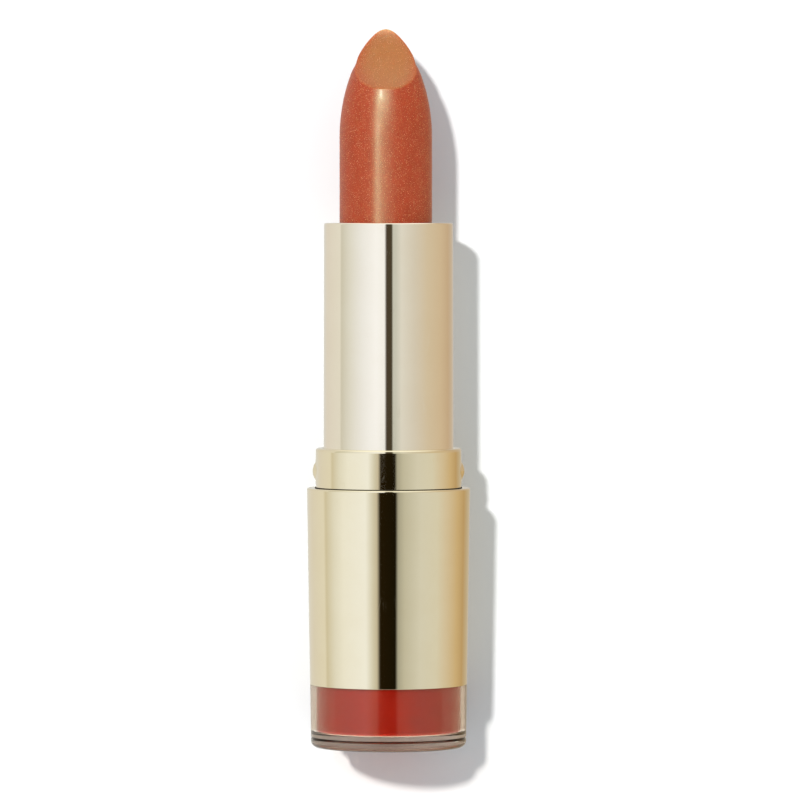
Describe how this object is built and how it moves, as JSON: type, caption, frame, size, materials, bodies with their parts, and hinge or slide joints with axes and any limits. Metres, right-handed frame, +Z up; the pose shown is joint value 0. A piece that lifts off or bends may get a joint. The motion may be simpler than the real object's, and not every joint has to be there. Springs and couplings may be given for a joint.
{
  "type": "lipstick case",
  "caption": "Open swivel lipstick: slant-cut stick wound fully up in a pale gold tube, gold collar with cap detents, tapered gold base and a clear window over a shade cup.",
  "frame": {"origin": "centre of the foot, on the surface that the case stands on", "axes": "+Z up along the turning axis towards the stick's tip, -Y towards the stick's slanted face, +X and -X through the two cap detents"},
  "size_m": [0.0214, 0.0214, 0.0941],
  "materials": {
    "clear_plastic": "clear, polished",
    "shade_plastic": "satin orange-red",
    "shade_label": "satin orange",
    "base_gold": "polished, gold anodised",
    "tube_gold": "polished, pale gold anodised",
    "natural_plastic": "matte, undyed",
    "soft_rubber": "matte",
    "cup_plastic": "satin gold",
    "stick_wax": "waxy sheen with fine golden shimmer"
  },
  "bodies": {
    "base": {"clear_base": "clear_plastic", "shade_insert": "shade_plastic", "bottom_label": "shade_label", "base_sleeve": "base_gold", "base_core": "natural_plastic", "collar": "base_gold", "bearing_ring": "natural_plastic", "brake_ring": "soft_rubber", "guide_tube": "natural_plastic"},
    "swivel": {"outer_shell": "tube_gold", "spiral_sleeve": "natural_plastic"},
    "carrier": {"bullet_cup": "cup_plastic", "bullet": "stick_wax"}
  },
  "joints": [
    {"name": "twist", "type": "hinge", "parent": "base", "child": "swivel", "pos_m": [0, 0, 0.039], "axis": [0, 0, 1], "range_deg": [0, 720]},
    {"name": "bullet_slide", "type": "slide", "parent": "base", "child": "carrier", "axis": [0, 0, 1], "range_m": [-0.027, 0]}
  ],
  "couplings": [
    {"joint": "bullet_slide", "follows": "twist", "m_per_rad": -0.0021486}
  ]
}
